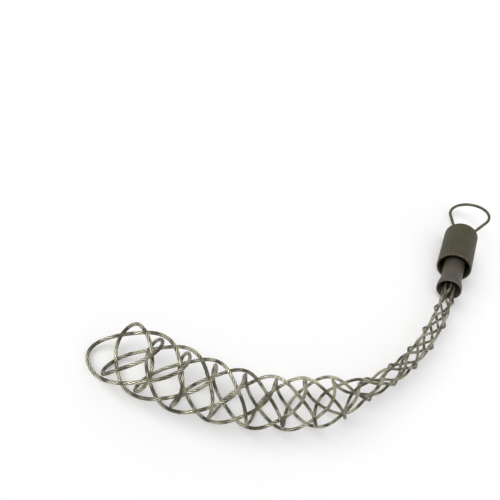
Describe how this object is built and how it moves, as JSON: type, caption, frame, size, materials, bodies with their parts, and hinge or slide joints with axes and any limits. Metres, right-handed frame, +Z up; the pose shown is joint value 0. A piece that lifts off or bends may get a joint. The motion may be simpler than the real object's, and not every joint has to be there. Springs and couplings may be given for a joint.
{
  "type": "cable pulling grip",
  "caption": "Cable pulling grip: a woven wire rope sock that tightens on a cable when pulled, with a swaged ferrule, a nose sleeve and a wire rope pulling eye.",
  "frame": {"origin": "on the floor under the middle of the bounding box of the whole grip as it lies", "axes": "+Z up from the floor, +X along the pull axis of the ferrule towards the eye, so the sock bows away towards -X and +Y"},
  "size_m": [0.3624, 0.205, 0.0328],
  "materials": {
    "strand": "galvanised wire rope, dulled olive, bright on its worn crowns",
    "eye": "galvanised wire rope, dulled olive",
    "ferrule": "satin dark olive coating",
    "nose_sleeve": "matt dark olive coating"
  },
  "bodies": {
    "root": {"strand_1": "strand", "strand_2": "strand", "strand_3": "strand", "eye_rope": "eye", "ferrule": "ferrule", "nose_sleeve": "nose_sleeve"}
  },
  "joints": []
}
